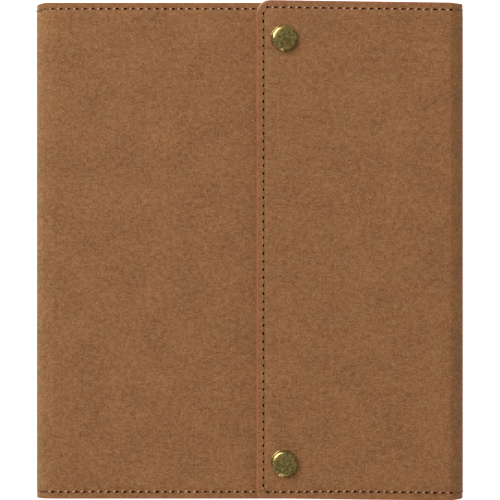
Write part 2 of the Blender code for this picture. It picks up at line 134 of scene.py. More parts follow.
def newGroup(name, inputs, outputs, treeKind="ShaderNodeTree"):
    group = bpy.data.node_groups.new(name, treeKind)
    for label, kind, value in inputs:
        socket = group.interface.new_socket(name=label, in_out="INPUT", socket_type="NodeSocket" + kind)
        if value is not None:
            socket.default_value = value
    for label, kind in outputs:
        group.interface.new_socket(name=label, in_out="OUTPUT", socket_type="NodeSocket" + kind)
    start = group.nodes.new("NodeGroupInput").outputs
    end = group.nodes.new("NodeGroupOutput").inputs
    return group, start, end


def useGroup(tree, group, inputs):
    return addNode(tree, "ShaderNodeGroup", inputs, node_tree=group).outputs


def newMaterial(name, roughness=0.8, metallic=0.0, specular=0.3):
    material = bpy.data.materials.new(name)
    material.use_nodes = True
    tree = material.node_tree
    shader = tree.nodes["Principled BSDF"]
    shader.inputs["Roughness"].default_value = roughness
    shader.inputs["Metallic"].default_value = metallic
    shader.inputs["Specular IOR Level"].default_value = specular
    return material, tree, shader


def addBump(tree, shader, height, strength, depth):
    bump = fromNode(tree, "ShaderNodeBump", {"Strength": strength, "Distance": depth, "Height": height})
    tree.links.new(bump, shader.inputs["Normal"])


# Shared effects

toneSizes = {
    "cloud": 16 * mm, "blotch": 2.4 * mm, "grain": 0.85 * mm,
    "speckFrom": 0.56, "speckGain": 1.6,  # the brightest grains stand out as pale specks
    "blotchRelief": 0.55, "grainRelief": 0.45,
    "darkest": (0.012, 0.006, 0.003),
}


def makeCardTone():
    # cloudy, blotchy paper-leather colour: the tint goes darker and lighter, with flecks laid over it
    group, start, end = newGroup("cardTone", [
        ("Vector", "Vector", None), ("Tint", "Color", (0.3, 0.13, 0.05, 1)),
        ("Fleck", "Color", (0.3, 0.19, 0.115, 1)), ("Cloud", "Float", 0.1), ("Blotch", "Float", 0.1),
        ("Grain", "Float", 0.1)], [("Colour", "Color"), ("Relief", "Float")])
    cloud = noiseNode(group, start["Vector"], toneSizes["cloud"], 4.0, 0.62)
    blotch = noiseNode(group, start["Vector"], toneSizes["blotch"], 5.0, 0.62)
    grain = noiseNode(group, start["Vector"], toneSizes["grain"], 4.0, 0.75)
    clouding, blotching, graining = [
        mathNode(group, "MULTIPLY", mathNode(group, "SUBTRACT", value, 0.5), start[amount])
        for value, amount in ((cloud, "Cloud"), (blotch, "Blotch"), (grain, "Grain"))]
    brightest = mathNode(group, "MAXIMUM", mathNode(group, "SUBTRACT", grain, toneSizes["speckFrom"]), 0.0)
    speckGain = mathNode(group, "MULTIPLY", start["Grain"], toneSizes["speckGain"])
    specks = mathNode(group, "MULTIPLY", brightest, speckGain)
    clouded = vectorNode(group, "SCALE", start["Tint"], mathNode(group, "ADD", clouding, 1.0))
    flecking = mathNode(group, "ADD", mathNode(group, "ADD", blotching, graining), specks)
    toned = vectorNode(group, "ADD", clouded, vectorNode(group, "SCALE", start["Fleck"], flecking))
    group.links.new(vectorNode(group, "MAXIMUM", toned, toneSizes["darkest"]), end["Colour"])
    relief = mathNode(group, "ADD", mathNode(group, "MULTIPLY", blotch, toneSizes["blotchRelief"]),
                      mathNode(group, "MULTIPLY", grain, toneSizes["grainRelief"]))
    group.links.new(relief, end["Relief"])
    return group


fibreSizes = {
    # turn in degrees, width, length
    "strands": ((17, 0.28 * mm, 3.4 * mm), (71, 0.24 * mm, 2.8 * mm), (128, 0.30 * mm, 3.8 * mm)),
    "waver": 0.6,
}


def makeFibres():
    # short pressed fibres lying in several directions
    group, start, end = newGroup("pressedFibres", [
        ("Vector", "Vector", None), ("Size", "Float", 1.0), ("Low", "Float", 0.6), ("High", "Float", 0.75)],
        [("Mask", "Float")])
    total = None
    for turn, width, length in fibreSizes["strands"]:
        sized = vectorNode(group, "SCALE", start["Vector"], start["Size"])
        turned = stretchNode(group, sized, turn, (1 / length, 1 / width, 1.0))
        strand = noiseNode(group, turned, 1.0, 1.0, distortion=fibreSizes["waver"])
        band = bandNode(group, strand, start["Low"], start["High"])
        total = band if total is None else mathNode(group, "MAXIMUM", total, band)
    group.links.new(total, end["Mask"])
    return group


def makeTarnish():
    # patchy darkening of a metal, and where it is rubbed bright
    group, start, end = newGroup("tarnish", [
        ("Vector", "Vector", None), ("Size", "Float", 0.002), ("Bright", "Color", (0.4, 0.35, 0.2, 1)),
        ("Dull", "Color", (0.2, 0.17, 0.08, 1))],
        [("Colour", "Color"), ("Patch", "Float"), ("Scratch", "Float")])
    scaled = vectorNode(group, "DIVIDE", start["Vector"], start["Size"])
    patch = bandNode(group, noiseNode(group, scaled, 1.0, 4.0, 0.6), 0.35, 0.68)
    brushed = stretchNode(group, scaled, 24, (0.6, 9.0, 0.6))
    group.links.new(mixColours(group, patch, start["Dull"], start["Bright"]), end["Colour"])
    group.links.new(patch, end["Patch"])
    group.links.new(noiseNode(group, brushed, 1.0, 2.0), end["Scratch"])
    return group


cardTone = makeCardTone()
pressedFibres = makeFibres()
tarnish = makeTarnish()
print("shared effects built")


# Materials

kraftLook = {
    "tint": (0.2675, 0.1140, 0.0385, 1), "fleck": (0.266, 0.166, 0.100, 1),
    "cloud": 0.58, "blotch": 1.0, "grain": 1.72,
    "fibreLight": (0.40, 0.205, 0.10, 1), "lightAmount": 0.42,
    "fibreDark": (0.15, 0.062, 0.024, 1), "darkAmount": 0.14,
    "redder": (1.02, 0.98, 0.97, 1), "olive": (0.98, 1.02, 1.027, 1),  # the dye took unevenly
    "dyePatch": 8 * mm,
    # the first of these is painted light beside the front fold, the second a greener tint round the fold
    "paintedLightBesideFold": (1.05, 1.105, 1.105, 1), "aroundFold": (0.90, 1.02, 1.03, 1),
    # the corner colour is a pale painted highlight on the rounded corners' rims
    "edge": (0.38, 0.108, 0.047, 1), "corner": (0.66, 0.43, 0.33, 1),
    "smoothest": 0.62, "roughSpan": 0.22,
    "fibreRelief": 0.35, "bump": 0.24, "bumpDepth": 0.16 * mm,
}
liningLook = dict(kraftLook, tint=(0.28, 0.128, 0.052, 1), blotch=0.5)


def toneOf(tree, place, look):
    values = {name: look[name.lower()] for name in ("Tint", "Fleck", "Cloud", "Blotch", "Grain")}
    return useGroup(tree, cardTone, dict(values, Vector=place))


def makeKraft(name, look, seedShift):
    material, tree, shader = newMaterial(name, 0.74, specular=0.28)
    uv = fromNode(tree, "ShaderNodeUVMap", uv_map="sheet")
    place = fromNode(tree, "ShaderNodeMapping", {"Vector": uv, "Location": seedShift})
    tone = toneOf(tree, place, look)
    light = useGroup(tree, pressedFibres, {"Vector": place, "Size": 1.0, "Low": 0.60, "High": 0.72})["Mask"]
    dark = useGroup(tree, pressedFibres, {"Vector": stretchNode(tree, place, 40), "Size": 0.8, "Low": 0.61,
                                          "High": 0.74})["Mask"]
    lightShare = mathNode(tree, "MULTIPLY", light, look["lightAmount"])
    darkShare = mathNode(tree, "MULTIPLY", dark, look["darkAmount"])
    colour = mixColours(tree, lightShare, tone["Colour"], look["fibreLight"])
    colour = mixColours(tree, darkShare, colour, look["fibreDark"])
    # some patches are redder, some more olive
    dye = noiseNode(tree, stretchNode(tree, place, 25), look["dyePatch"], 3.0, 0.6)
    dyed = mixColours(tree, bandNode(tree, dye, 0.3, 0.7), look["redder"], look["olive"])
    colour = mixColours(tree, 1.0, colour, dyed, "MULTIPLY")
    # painted light: paler beside the front fold, where the skin slopes toward the lamp; duller and greener
    # round the fold itself
    sheenAndTint = pointMask(tree, "foldSheenAndTint")
    beside = mathNode(tree, "MULTIPLY", sheenAndTint, 2.0, clamp=True)
    around = mathNode(tree, "MULTIPLY_ADD", sheenAndTint, 2.0, -1.0, clamp=True)
    foldLightAndTint = mixColours(tree, beside, (1, 1, 1, 1), look["paintedLightBesideFold"])
    foldLightAndTint = mixColours(tree, around, foldLightAndTint, look["aroundFold"])
    colour = mixColours(tree, 1.0, colour, foldLightAndTint, "MULTIPLY")
    # rubbed down to the core at the edges; at the corners a pale painted highlight on the rounded rims, strong
    # at the head corner that faces the light
    rubbing = mathNode(tree, "ADD", mathNode(tree, "MULTIPLY", light, 0.5), 0.6)
    worn = mathNode(tree, "MULTIPLY", pointMask(tree, "edgeRub"), rubbing, clamp=True)
    colour = mixColours(tree, worn, colour, look["edge"])
    colour = mixColours(tree, pointMask(tree, "cornerHighlight"), colour, look["corner"])
    tree.links.new(colour, shader.inputs["Base Color"])
    rough = mathNode(tree, "MULTIPLY_ADD", tone["Relief"], look["roughSpan"], look["smoothest"])
    tree.links.new(rough, shader.inputs["Roughness"])
    height = mathNode(tree, "ADD", tone["Relief"], mathNode(tree, "MULTIPLY", light, look["fibreRelief"]))
    addBump(tree, shader, height, look["bump"], look["bumpDepth"])
    return material


cutEdgeLook = {
    "tint": (0.30, 0.13, 0.062, 1), "fleck": (0.3, 0.19, 0.115, 1), "cloud": 0.2, "blotch": 0.5, "grain": 0.6,
    "bump": 0.5, "bumpDepth": 0.1 * mm,
}


def makeCutEdge(look):
    material, tree, shader = newMaterial("cut_edge", 0.9, specular=0.15)
    tone = toneOf(tree, objectPlace(tree), look)
    tree.links.new(tone["Colour"], shader.inputs["Base Color"])
    addBump(tree, shader, tone["Relief"], look["bump"], look["bumpDepth"])
    return material


boardLook = {
    "tint": (0.36, 0.34, 0.30, 1), "fleck": (0.3, 0.19, 0.115, 1),
    "cloud": 0.12, "blotch": 0.25, "grain": 0.3,
    "fibre": (0.22, 0.20, 0.17, 1), "fibreSize": 1.1, "fibreAmount": 0.45,
    "bump": 0.35, "bumpDepth": 0.1 * mm,
}
leafLook = dict(boardLook, tint=(0.40, 0.235, 0.125, 1), fibre=(0.24, 0.12, 0.055, 1))


def makeBoard(name, look):
    material, tree, shader = newMaterial(name, 0.88, specular=0.15)
    place = objectPlace(tree)
    tone = toneOf(tree, place, look)
    mask = useGroup(tree, pressedFibres, {"Vector": place, "Size": look["fibreSize"], "Low": 0.6,
                                          "High": 0.72})["Mask"]
    share = mathNode(tree, "MULTIPLY", mask, look["fibreAmount"])
    tree.links.new(mixColours(tree, share, tone["Colour"], look["fibre"]), shader.inputs["Base Color"])
    addBump(tree, shader, tone["Relief"], look["bump"], look["bumpDepth"])
    return material


metalLooks = {
    "brass": {"name": "antique_brass", "bright": (0.555, 0.415, 0.128, 1), "dull": (0.17, 0.117, 0.029, 1),
              "patch": 1.2 * mm, "brightRough": 0.13, "dullRough": 0.25, "scratches": 0.05, "lacquer": 0.5},
    "nickel": {"name": "nickel_steel", "bright": (0.60, 0.595, 0.575, 1), "dull": (0.47, 0.465, 0.45, 1),
               "patch": 4 * mm, "brightRough": 0.16, "dullRough": 0.27, "scratches": 0.2, "lacquer": 0.0},
    "spring": {"name": "spring_steel", "bright": (0.62, 0.61, 0.58, 1), "dull": (0.42, 0.41, 0.38, 1),
               "patch": 2 * mm, "brightRough": 0.24, "dullRough": 0.36, "scratches": 0.2, "lacquer": 0.0},
}


def makeMetal(look):
    material, tree, shader = newMaterial(look["name"], look["brightRough"], 1.0, 0.5)
    shader.inputs["Coat Weight"].default_value = look["lacquer"]
    shader.inputs["Coat Roughness"].default_value = 0.12
    worn = useGroup(tree, tarnish, {"Vector": objectPlace(tree), "Size": look["patch"],
                                    "Bright": look["bright"], "Dull": look["dull"]})
    tree.links.new(worn["Colour"], shader.inputs["Base Color"])
    rough = fromNode(tree, "ShaderNodeMapRange", {"Value": worn["Patch"], "To Min": look["dullRough"],
                                                  "To Max": look["brightRough"]})
    tree.links.new(mathNode(tree, "MULTIPLY_ADD", worn["Scratch"], 0.08, rough), shader.inputs["Roughness"])
    addBump(tree, shader, worn["Scratch"], look["scratches"], 0.03 * mm)
    return material


threadLooks = {
    # one thread in painted copies: the lit one is a painted highlight, the others painted shade, and the needle
    # hole a black painted shade; name, the copy's tint and its deeper tone, gloss
    "threadLit": ("thread_lit", (0.72, 0.35, 0.15, 1), (0.48, 0.195, 0.075, 1), 0.35),
    "threadShaded": ("thread_shaded", (0.21, 0.078, 0.034, 1), (0.12, 0.044, 0.020, 1), 0.35),
    "threadDeepShade": ("thread_deep_shade", (0.15, 0.054, 0.025, 1), (0.08, 0.029, 0.014, 1), 0.35),
    "threadEdgeShade": ("thread_edge_shade", (0.235, 0.092, 0.040, 1), (0.13, 0.048, 0.023, 1), 0.35),
    "hole": ("needle_hole", (0.010, 0.003, 0.005, 1), (0.004, 0.001, 0.002, 1), 0.0),
}


def makeThread(name, tint, deep, gloss):
    material, tree, shader = newMaterial(name, 0.6, specular=gloss)
    place = objectPlace(tree)
    shade = noiseNode(tree, place, 0.9 * mm, 3.0, 0.6)
    colour = mixColours(tree, bandNode(tree, shade, 0.35, 0.65), deep, tint)
    tree.links.new(colour, shader.inputs["Base Color"])
    twist = noiseNode(tree, stretchNode(tree, place, 35, (1, 3.0, 1)), 0.25 * mm, 2.0)
    addBump(tree, shader, twist, 0.5, 0.05 * mm)
    return material


materials = {
    "kraft": makeKraft("kraft_skin", kraftLook, (0.0, 0.0, 0.0)),
    "lining": makeKraft("kraft_lining", liningLook, (0.31, 0.17, 0.0)),
    "cutEdge": makeCutEdge(cutEdgeLook),
    "board": makeBoard("grey_board", boardLook),
    "leaf": makeBoard("leaf_card", leafLook),
}
for key, look in metalLooks.items():
    materials[key] = makeMetal(look)
for key, look in threadLooks.items():
    materials[key] = makeThread(*look)
print("materials built:", len(materials))


# The sewn case: one run of skin and lining from the front cover's free edge round to the flap's

caseSizes = {
    "skin": 0.7 * mm, "foldStack": 1.4 * mm,  # one skin, and skin and lining on each other
    "edgeRound": 0.35 * mm, "edgeDrop": 0.26 * mm, "innerDrop": 0.2,
    "pinch": 0.4 * mm,  # how far the skin dips at the sewn edges
    "wallPinch": 0.12 * mm,  # the same on the spine and the fore-edge wall
    "pinchFrom": 5.5 * mm, "pinchTo": 2.3 * mm,
    "frontCorner": 1.4 * mm, "flapCorner": 6.2 * mm, "flapTailCorner": 3.2 * mm,
    "flapSlope": -0.0136, "flapLevelAt": 59.0 * mm,  # the flap is cut a little out of square
    "headTurn": 0.18 * mm, "tailTurn": 0.12 * mm,  # the sewn skins stand this far past the boards
    "spineTrim": (0.85 * mm, 0.20 * mm), "foreTrim": (0.75 * mm, 0.40 * mm),  # at the head, at the tail
    "boardEnd": 0.24,  # the board's stack runs out over this share of a fold
    "foldDip": {"frontFold": 0.10 * mm, "spineFold": 0.25 * mm, "foreFold": 0.25 * mm, "flapFold": 0.52 * mm},
    "dipShare": 0.66,  # the upper folds dip over this share of them
    "panelDip": {"front": 0.14 * mm, "flap": 0.16 * mm},
    "panelDipRun": {"front": 4.5 * mm, "flap": 5.0 * mm},  # the panels start to fall this far before their fold
    "column": 4.0 * mm, "row": 5.0 * mm, "arcSteps": 24,
    "fineSteps": (0.0, 0.12, 0.35, 0.7, 1.2, 1.8, 2.4, 3.0, 3.7, 4.5, 5.5, 7.5),  # mm from an edge or a fold
}

frontBox, backBox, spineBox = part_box("front_skin"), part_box("back_skin"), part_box("spine_skin")
foreBox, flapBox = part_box("fore_edge_skin"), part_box("flap_skin")
left, right = spineBox[0].x, foreBox[1].x
frontTop, flapTop = frontBox[1].z, flapBox[1].z
halfHeight = backBox[1].y
crease = spineBox[0].z
flapCrease = flapTop - foreBox[1].z
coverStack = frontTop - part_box("front_lining")[0].z
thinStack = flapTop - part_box("flap_lining")[0].z
frontEdge, flapEdge = frontBox[1].x, flapBox[0].x
stacks = {"front": coverStack, "spine": coverStack, "back": coverStack, "fore": thinStack, "flap": thinStack}
runStarts, runLengths, caseRun = {}, {}, []


def addPart(name, length, **shape):
    runStarts[name] = runStarts[caseRun[-1][0]] + runLengths[caseRun[-1][0]] if caseRun else 0.0
    runLengths[name] = length
    caseRun.append((name, shape))


def addPanel(name, start, end, facing):
    addPart(name, math.hypot(end[0] - start[0], end[1] - start[1]), start=start, end=end, facing=facing)


def addFold(name, centre, radius, facing):
    addPart(name, radius * math.radians(90), centre=centre, radius=radius, facing=facing)


# the way that a panel faces, or that a fold's first edge faces, in degrees; a fold turns through 90 of them
addPanel("front", (frontEdge, frontTop), (left + crease, frontTop), 90)
addFold("frontFold", (left + crease, frontTop - crease), crease, 90)
addPanel("spine", (left, frontTop - crease), (left, crease), 180)
addFold("spineFold", (left + crease, crease), crease, 180)
addPanel("back", (left + crease, 0.0), (right - crease, 0.0), 270)
addFold("foreFold", (right - crease, crease), crease, 270)
addPanel("fore", (right, crease), (right, flapTop - flapCrease), 0)
addFold("flapFold", (right - flapCrease, flapTop - flapCrease), flapCrease, 0)
addPanel("flap", (right - flapCrease, flapTop), (flapEdge, flapTop), 90)
runNames = [name for name, shape in caseRun]
runEnd = runStarts["flap"] + runLengths["flap"]


def onRun(along):
    # place on the outer face, outward direction, the section's name and the share of it passed
    for name, shape in caseRun:
        inside = along - runStarts[name]
        if inside <= runLengths[name] or name == runNames[-1]:
            break
    share = inside / runLengths[name]
    isPanel = name in stacks
    angle = math.radians(shape["facing"] if isPanel else shape["facing"] + 90 * share)
    way = (math.cos(angle), math.sin(angle))
    if isPanel:
        (x, z), (endX, endZ) = shape["start"], shape["end"]
        return (x + (endX - x) * share, z + (endZ - z) * share), way, name, share
    (x, z), radius = shape["centre"], shape["radius"]
    return (x + radius * way[0], z + radius * way[1]), way, name, share


def stackAt(name, share):
    # skin, board and lining together; at a fold there is no board between them
    if name in stacks:
        return stacks[name]
    index = runNames.index(name)
    before, after = stacks[runNames[index - 1]], stacks[runNames[index + 1]]
    fold, out = caseSizes["foldStack"], caseSizes["boardEnd"]
    if share < 0.5:
        return before + (fold - before) * smoothStep(0.0, out, share)
    return fold + (after - fold) * smoothStep(1 - out, 1.0, share)


def trimsAt(name, share):
    # how much shorter the head and the tail are, on the standing walls and round the folds to them
    spine, fore = caseSizes["spineTrim"], caseSizes["foreTrim"]
    rising, falling = math.sin(share * math.pi / 2), math.sin((1 - share) * math.pi / 2)
    trims, amount = {"frontFold": (spine, rising), "spine": (spine, 1.0), "spineFold": (spine, falling),
                     "foreFold": (fore, rising), "fore": (fore, 1.0), "flapFold": (fore, falling)
                     }.get(name, ((0.0, 0.0), 0.0))
    return trims[0] * amount, trims[1] * amount


def slopeAt(along):
    # the flap's head and tail aren't quite square to its fold
    (x, z), way, name, share = onRun(along)
    if name == "flap":
        return caseSizes["flapSlope"] * (x - caseSizes["flapLevelAt"])
    if name == "flapFold":
        return caseSizes["flapSlope"] * (right - flapCrease - caseSizes["flapLevelAt"]) * share
    return 0.0


def freeEdgeDistance(along, side):
    # distance to a sewn free edge, with that edge's corner radius at the head or the tail
    if along < runLengths["front"]:
        return along, caseSizes["frontCorner"]
    if along > runStarts["flap"]:
        return runEnd - along, caseSizes["flapCorner" if side > 0 else "flapTailCorner"]
    return 1.0, 0.0


def edgeDistance(along, acrossHead, acrossTail):
    across = min(acrossHead, acrossTail)
    free, radius = freeEdgeDistance(along, acrossTail - acrossHead)
    if free < radius and across < radius:
        return max(0.0, radius - math.hypot(radius - free, radius - across))
    return min(free, across)


def sheetPoint(along, y, depth):
    (x, z), way, name, share = onRun(along)
    return Vector((x - way[0] * depth, y + slopeAt(along), z - way[1] * depth))


def roundedCut(inside, radius):
    # how much a round corner takes off the other edge, this far in from the first
    if inside >= radius:
        return 0.0
    return radius - math.sqrt(max(0.0, radius ** 2 - (radius - inside) ** 2))


def halfHeights(along):
    name, share = onRun(along)[2:]
    head, tail = trimsAt(name, share)
    head = halfHeight - head + caseSizes["headTurn"]
    tail = halfHeight - tail + caseSizes["tailTurn"]
    cuts = [roundedCut(*freeEdgeDistance(along, side)) for side in (1, -1)]
    return head, tail, cuts


def foldFall(along, name, share):
    # past the board's end the skin falls away, ever more steeply, before it rounds the fold
    dips, depths, runs = caseSizes["foldDip"], caseSizes["panelDip"], caseSizes["panelDipRun"]
    if name in ("frontFold", "flapFold"):
        panel = "front" if name == "frontFold" else "flap"
        bend = share if name == "frontFold" else 1 - share
        dip = dips[name] * math.sin(math.pi * min(1.0, bend / caseSizes["dipShare"]))
        return dip + depths[panel] * (1 - bend)
    if name in dips:
        return dips[name] * math.sin(math.pi * share)
    if name in depths:
        away = runLengths["front"] - along if name == "front" else along - runStarts["flap"]
        return depths[name] * (1 - min(1.0, away / runs[name])) ** 2
    return 0.0


def skinDepths(along, edge):
    # how deep the outer face and the lining's face lie, and how much a cut edge is rounded
    name, share = onRun(along)[2:]
    rise = smoothStep(caseSizes["pinchTo"], caseSizes["pinchFrom"], edge)
    most, least = caseSizes["pinch"], caseSizes["wallPinch"]
    falling, rising = most + (least - most) * share, least + (most - least) * share
    pinch = {"frontFold": falling, "spine": least, "spineFold": rising, "foreFold": falling, "fore": least,
             "flapFold": rising}.get(name, most)
    outer = pinch * (1 - rise) + foldFall(along, name, share)
    pinched = pinch + caseSizes["foldStack"]
    full = max(pinched + (stackAt(name, share) - pinched) * rise, outer + caseSizes["foldStack"])
    rounding = max(0.0, 1 - edge / caseSizes["edgeRound"]) ** 2 * caseSizes["edgeDrop"]
    return outer, full, rounding


def spacedDistances(length, step, fineStart=True, fineEnd=True):
    fine = [distance * mm for distance in caseSizes["fineSteps"]]
    values = fine if fineStart else [0.0]
    lastValues = [length - distance for distance in fine] if fineEnd else [length]
    low, high = values[-1], lastValues[-1]
    count = max(1, round((high - low) / step))
    middle = [low + (high - low) * i / count for i in range(1, count)]
    return values + middle + lastValues[::-1]


def sheetColumns(firstAlong, lastAlong):
    columns = []
    for name in runNames:
        low = max(runStarts[name], firstAlong)
        high = min(runStarts[name] + runLengths[name], lastAlong)
        if high - low < 1e-9:
            continue
        if name in stacks:
            inside = spacedDistances(high - low, caseSizes["column"], low == 0.0 or name == "flap",
                                     abs(high - runEnd) < 1e-9 or name == "front")
        else:
            steps = caseSizes["arcSteps"]
            inside = [(high - low) * i / steps for i in range(steps + 1)]
        columns += [low + value for value in inside if not columns or low + value - columns[-1] > 1e-7]
    return columns


def sheetFaces(columnCount, rowCount):
    # the two faces of a sheet, then its cut edges, and how many of the faces come before the cut edges
    total = columnCount * rowCount

    def at(column, row, side):
        return column * rowCount + row + side * total

    def quad(*corners):
        faces.append([at(*corner) for corner in corners])

    faces = []
    for c in range(columnCount - 1):
        for r in range(rowCount - 1):
            quad((c, r, 0), (c, r + 1, 0), (c + 1, r + 1, 0), (c + 1, r, 0))
            quad((c, r, 1), (c + 1, r, 1), (c + 1, r + 1, 1), (c, r + 1, 1))
    wide = len(faces)
    for c in range(columnCount - 1):
        for r in (0, rowCount - 1):
            quad((c, r, 0), (c + 1, r, 0), (c + 1, r, 1), (c, r, 1))
    for r in range(rowCount - 1):
        for c in (0, columnCount - 1):
            quad((c, r, 0), (c, r + 1, 0), (c, r + 1, 1), (c, r, 1))
    return faces, wide


wearAndLightSizes = {
    "edge": 0.65 * mm, "corner": 0.42 * mm,  # how far in the edge wear and the corners' painted highlight go
    # where the corners' painted highlight starts, and how strong it is at the head and at the tail corner
    "highlightFrom": 0.45, "headHighlight": 0.95, "tailHighlight": 0.22,
    # how far the painted light beside the front fold reaches, and where it fades out
    "sheenRun": 4.0 * mm, "sheenFrom": 0.82, "sheenTo": 1.15,
}


def frontFoldSheenAndTint(along):
    # painted light beside the front fold, paler where the skin slopes toward the lamp, and a little greener
    # round the fold
    name, share = onRun(along)[2:]
    if name == "front":
        away = (runLengths["front"] - along) / wearAndLightSizes["sheenRun"]
        return 0.5 - 0.5 * smoothStep(wearAndLightSizes["sheenFrom"], wearAndLightSizes["sheenTo"], away)
    return 0.5 + 0.5 * min(1.0, 2.0 * share) if name == "frontFold" else 0.0


# pale painted highlight on a free edge's rounded corner, strong at the head and faint at the tail as the light
# falls
def paintedCornerHighlight(along, y, across, edge):
    free, radius = freeEdgeDistance(along, y)
    if not radius:
        return 0.0
    cornered = smoothStep(0.0, wearAndLightSizes["highlightFrom"], min(1 - free / radius, 1 - across / radius))
    amount = wearAndLightSizes["headHighlight" if y > 0 else "tailHighlight"]
    return amount * cornered * math.exp(-edge / wearAndLightSizes["corner"])


def makeSheet(name, firstAlong, lastAlong, layer, replaced):
    columns = sheetColumns(firstAlong, lastAlong)
    rows = [1 - value / halfHeight for value in spacedDistances(2 * halfHeight, caseSizes["row"])]
    skin, innerDrop = caseSizes["skin"], caseSizes["innerDrop"]
    outerPoints, innerPoints, uvs = [], [], []
    # edge wear, the corners' painted highlight, and the painted light and greener tint at the front fold
    wearAndPaintedLight = {"edgeRub": [], "cornerHighlight": [], "foldSheenAndTint": []}
    for along in columns:
        head, tail, cuts = halfHeights(along)
        for t in rows:
            y = t * (head - cuts[0]) if t >= 0 else t * (tail - cuts[1])
            across = min(head - y, tail + y)
            edge = edgeDistance(along, head - y, tail + y)
            outer, full, rounding = skinDepths(along, edge)
            if layer == "skin":
                depths = (outer + rounding, outer + skin - rounding * innerDrop)
            else:
                depths = (full - skin + rounding * innerDrop, full - rounding)
            outerPoints.append(sheetPoint(along, y, depths[0]))
            innerPoints.append(sheetPoint(along, y, depths[1]))
            uvs.append((along, y))
            wearAndPaintedLight["edgeRub"].append(math.exp(-edge / wearAndLightSizes["edge"]))
            wearAndPaintedLight["cornerHighlight"].append(paintedCornerHighlight(along, y, across, edge))
            wearAndPaintedLight["foldSheenAndTint"].append(frontFoldSheenAndTint(along))
    faces, wide = sheetFaces(len(columns), len(rows))
    mesh = bpy.data.meshes.new(name)
    mesh.from_pydata(outerPoints + innerPoints, [], faces)
    mesh.materials.append(materials["kraft" if layer == "skin" else "lining"])
    mesh.materials.append(materials["cutEdge"])
    mesh.polygons.foreach_set("material_index", [0] * wide + [1] * (len(faces) - wide))
    allUvs = uvs + uvs
    uvLayer = mesh.uv_layers.new(name="sheet")
    uvLayer.data.foreach_set("uv", [value for loop in mesh.loops for value in allUvs[loop.vertex_index]])
    for label, values in wearAndPaintedLight.items():
        mesh.attributes.new(label, "FLOAT", "POINT").data.foreach_set("value", values + values)
    work = bmesh.new()
    work.from_mesh(mesh)
    bmesh.ops.recalc_face_normals(work, faces=work.faces)
    softenFaces(work, 50)
    work.to_mesh(mesh)
    work.free()
    item = addObject(name, mesh)
    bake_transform(item)
    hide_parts(*replaced)


def runMiddle(name):
    return runStarts[name] + runLengths[name] / 2


def makeCase():
    innerFront, innerSpine = frontTop - coverStack, left + coverStack
    innerFore, innerFlap = right - thinStack, flapTop - thinStack
    # name, first and last distance, bodies, the panels and the fold, the fold's ends outside and inside
    joins = [
        ("spine_front", 0.0, runMiddle("spine"), ("spine", "front_cover"),
         ("front",), "spine_front_fold",
         ((left, 0, frontTop - crease), (left + crease, 0, frontTop)),
         ((innerSpine, 0, frontTop - crease), (left + crease, 0, innerFront))),
        ("back_spine", runMiddle("spine"), runMiddle("back"), ("back_cover", "spine"),
         ("back", "spine"), "spine_back_fold",
         ((left + crease, 0, 0), (left, 0, crease)),
         ((left + crease, 0, coverStack), (innerSpine, 0, crease))),
        ("back_fore_edge", runMiddle("back"), runMiddle("fore"), ("back_cover", "fore_edge"),
         ("back", "fore_edge"), "back_fore_edge_fold",
         ((right - crease, 0, 0), (right, 0, crease)),
         ((right - crease, 0, coverStack), (innerFore, 0, crease))),
        ("fore_edge_flap", runMiddle("fore"), runEnd, ("fore_edge", "flap"),
         ("flap", "fore_edge"), "fore_edge_flap_fold",
         ((right, 0, flapTop - flapCrease), (right - flapCrease, 0, flapTop)),
         ((innerFore, 0, flapTop - flapCrease), (right - flapCrease, 0, innerFlap))),
    ]
    for joinName, first, last, bodies, panels, fold, outerFold, innerFold in joins:
        for layer, foldEnds in (("skin", outerFold), ("lining", innerFold)):
            replaced = [f"{panel}_{layer}" for panel in panels] + [fold]
            makeSheet(f"{joinName}_{layer}", first, last, layer, replaced)


makeCase()
print("case sewn")


# Stitches: rows along the sewn edges, on the skin and on the lining

stitchSizes = {
    "inset": 3.05 * mm, "flapInset": 3.5 * mm, "flapEdgeInset": 3.3 * mm, "pitch": 3.68 * mm,
    "tailExtra": 0.30 * mm,  # the tail rows are sewn this much further in
    "cornerDrift": 2.7, "driftRun": 45 * mm,  # but the flap's drifts out toward its free edge
    # the needle holes are flat black discs: painted shade in the holes
    "holeLength": 1.72 * mm, "holeWidth": 1.22 * mm, "holeHeight": 0.12 * mm, "holeSlant": 12.0,
    "plyLength": 1.6 * mm, "plyWidth": 0.86 * mm, "plyHeight": 0.46 * mm, "plySlant": 20.0,
    "edgePlyLength": 1.7 * mm, "edgePlyWidth": 0.5 * mm, "edgePlySlant": 8.0,
    "foldPlyLength": 1.12 * mm, "foldPlyWidth": 0.516 * mm, "foldPlyHeight": 0.2 * mm, "foldHole": 0.62,
    "cornerRun": 1.7 * mm, "rowStep": 1.0 * mm, "edgeSteps": 220,
    "nearPly": 1.42 * mm, "farPly": 2.5 * mm, "seed": 7,
    "least": (0.9, 0.88, 0.9), "most": (1.08, 1.12, 1.1),  # how much the stitches differ in size
}


